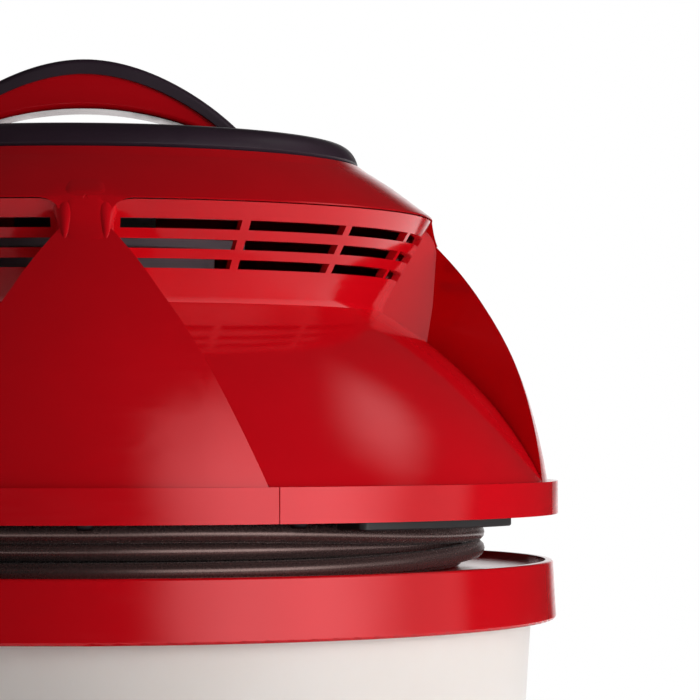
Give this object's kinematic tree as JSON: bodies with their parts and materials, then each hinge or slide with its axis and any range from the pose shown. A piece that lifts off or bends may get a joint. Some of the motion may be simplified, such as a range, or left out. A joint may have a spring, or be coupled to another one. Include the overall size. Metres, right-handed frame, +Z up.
{
  "type": "shop vacuum",
  "caption": "Round tub vacuum on casters: tapered tank, lift-off motor head with louvred exhaust recesses, cord wound in a groove, cap plate and arched carry handle.",
  "frame": {"origin": "centre of the footprint on the floor", "axes": "+Z up the axis of the tank, -Y towards the hose socket at the front"},
  "size_m": [0.4016, 0.4016, 0.4499],
  "materials": {
    "tank_polypropylene": "satin",
    "red_abs": "gloss",
    "red_cover_abs": "gloss",
    "dark_cap_plastic": "satin",
    "black_abs": "satin",
    "switch_plastic": "gloss",
    "motor_plastic": "matte",
    "caster_nylon": "matte",
    "axle_steel": "satin",
    "screw_steel": "satin",
    "motor_core_steel": "satin",
    "seal_rubber": "matte",
    "cord_pvc": "satin",
    "plug_brass": "satin",
    "filter_paper": "matte"
  },
  "bodies": {
    "tank_body": {"tank": "tank_polypropylene", "tank_gasket": "seal_rubber", "hose_socket": "black_abs", "socket_seal": "seal_rubber", "socket_screws": "screw_steel", "wheel_base": "black_abs", "base_screws": "screw_steel"},
    "head": {"base_ring": "red_abs", "winding_spool": "black_abs", "spool_screws": "screw_steel", "cord_retainers": "black_abs", "hood": "red_abs", "vent_cover_right": "red_cover_abs", "vent_cover_left": "red_cover_abs", "hood_screws": "screw_steel", "top_plate": "dark_cap_plastic", "handle_core": "red_abs", "handle_grip": "dark_cap_plastic", "handle_screws": "screw_steel", "switch_bezel": "black_abs", "motor_deck": "motor_plastic", "fan_housing": "motor_plastic", "motor_casing": "motor_plastic", "motor_stator": "motor_core_steel", "brush_holders": "motor_plastic", "motor_top_mount": "motor_plastic", "motor_cushion": "seal_rubber", "bearing_lower": "axle_steel", "bearing_upper": "axle_steel", "filter_cage": "motor_plastic", "filter_pleats": "filter_paper", "filter_top_cap": "motor_plastic", "filter_bottom_cap": "motor_plastic", "filter_nut": "motor_plastic", "cord_gland": "black_abs", "cord_lead": "cord_pvc", "cord_coil": "cord_pvc", "cord_tail": "cord_pvc", "plug_body": "cord_pvc", "plug_blades": "plug_brass", "latch_pins": "axle_steel"},
    "fan": {"motor_shaft": "axle_steel", "impeller": "motor_plastic", "armature": "motor_core_steel"},
    "switch": {"switch_rocker": "switch_plastic"},
    "clip_right": {"latch_right": "black_abs"},
    "clip_left": {"latch_left": "black_abs"},
    "caster_1": {"caster_fork_1": "caster_nylon"},
    "wheel_pair_1": {"caster_wheels_1": "caster_nylon", "caster_axle_1": "axle_steel"},
    "caster_2": {"caster_fork_2": "caster_nylon"},
    "wheel_pair_2": {"caster_wheels_2": "caster_nylon", "caster_axle_2": "axle_steel"},
    "caster_3": {"caster_fork_3": "caster_nylon"},
    "wheel_pair_3": {"caster_wheels_3": "caster_nylon", "caster_axle_3": "axle_steel"},
    "caster_4": {"caster_fork_4": "caster_nylon"},
    "wheel_pair_4": {"caster_wheels_4": "caster_nylon", "caster_axle_4": "axle_steel"}
  },
  "joints": [
    {"name": "head_lift", "type": "slide", "parent": "tank_body", "child": "head", "axis": [0, 0, 1], "range_m": [0, 0.25]},
    {"name": "fan_spin", "type": "hinge", "parent": "head", "child": "fan", "pos_m": [0, 0, 0.3], "axis": [0, 0, 1], "continuous": true},
    {"name": "switch_rock", "type": "hinge", "parent": "head", "child": "switch", "pos_m": [0, -0.066, 0.41], "axis": [1, 0, 0], "range_deg": [-16, 0]},
    {"name": "clip_right_swing", "type": "hinge", "parent": "head", "child": "clip_right", "pos_m": [0.17667, 0.102, 0.229], "axis": [0.5, -0.866, 0], "range_deg": [-15, 95]},
    {"name": "clip_left_swing", "type": "hinge", "parent": "head", "child": "clip_left", "pos_m": [-0.17667, 0.102, 0.229], "axis": [0.5, 0.866, 0], "range_deg": [-15, 95]},
    {"name": "caster_1_swivel", "type": "hinge", "parent": "tank_body", "child": "caster_1", "pos_m": [0.09899, -0.09899, 0.04], "axis": [0, 0, 1], "continuous": true},
    {"name": "wheel_1_roll", "type": "hinge", "parent": "caster_1", "child": "wheel_pair_1", "pos_m": [0.10925, -0.10925, 0.018], "axis": [-0.7071, -0.7071, 0], "continuous": true},
    {"name": "caster_2_swivel", "type": "hinge", "parent": "tank_body", "child": "caster_2", "pos_m": [0.09899, 0.09899, 0.04], "axis": [0, 0, 1], "continuous": true},
    {"name": "wheel_2_roll", "type": "hinge", "parent": "caster_2", "child": "wheel_pair_2", "pos_m": [0.10925, 0.10925, 0.018], "axis": [0.7071, -0.7071, 0], "continuous": true},
    {"name": "caster_3_swivel", "type": "hinge", "parent": "tank_body", "child": "caster_3", "pos_m": [-0.09899, 0.09899, 0.04], "axis": [0, 0, 1], "continuous": true},
    {"name": "wheel_3_roll", "type": "hinge", "parent": "caster_3", "child": "wheel_pair_3", "pos_m": [-0.10925, 0.10925, 0.018], "axis": [0.7071, 0.7071, 0], "continuous": true},
    {"name": "caster_4_swivel", "type": "hinge", "parent": "tank_body", "child": "caster_4", "pos_m": [-0.09899, -0.09899, 0.04], "axis": [0, 0, 1], "continuous": true},
    {"name": "wheel_4_roll", "type": "hinge", "parent": "caster_4", "child": "wheel_pair_4", "pos_m": [-0.10925, -0.10925, 0.018], "axis": [-0.7071, 0.7071, 0], "continuous": true}
  ]
}
